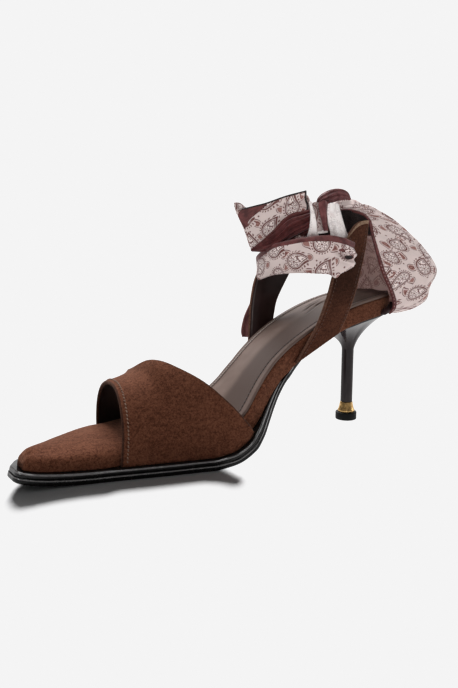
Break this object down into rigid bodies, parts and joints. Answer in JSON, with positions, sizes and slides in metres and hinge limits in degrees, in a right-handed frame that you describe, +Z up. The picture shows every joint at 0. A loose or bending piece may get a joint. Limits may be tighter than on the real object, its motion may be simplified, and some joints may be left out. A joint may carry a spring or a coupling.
{
  "type": "slingback stiletto sandal",
  "caption": "Left open-toe stiletto sandal in brown suede: a wide band over the toes, heel straps closed by a printed scarf tied at the ankle, and a slim black heel with a gold collar.",
  "frame": {"origin": "on the floor, under the middle of the whole sandal's box", "axes": "+X from the toe towards the heel, +Y from the outer side towards the inner side, +Z up"},
  "size_m": [0.2624, 0.0856, 0.1381],
  "materials": {
    "black_sole": "smooth black sole, half gloss",
    "black_welt": "polished black edge with bright lines",
    "brown_suede": "fine-napped suede, matte",
    "taupe_leather": "smooth satin sock leather",
    "black_lacquer": "high gloss lacquer",
    "gold_metal": "polished gold tone",
    "black_rubber": "matte",
    "printed_silk": "soft satin cloth with a printed teardrop pattern",
    "oxblood_silk": "soft satin cloth"
  },
  "bodies": {
    "root": {"outsole": "black_sole", "welt": "black_welt", "footbed": "brown_suede", "insole": "taupe_leather", "vamp": "brown_suede", "strap_lateral": "brown_suede", "strap_medial": "brown_suede", "heel": "black_lacquer", "heel_ring": "gold_metal", "heel_tip": "black_rubber", "scarf_heel": "printed_silk", "scarf_front": "printed_silk", "scarf_knot": "printed_silk", "scarf_bow": "printed_silk", "scarf_loop": "printed_silk", "scarf_tail": "oxblood_silk"}
  },
  "joints": []
}
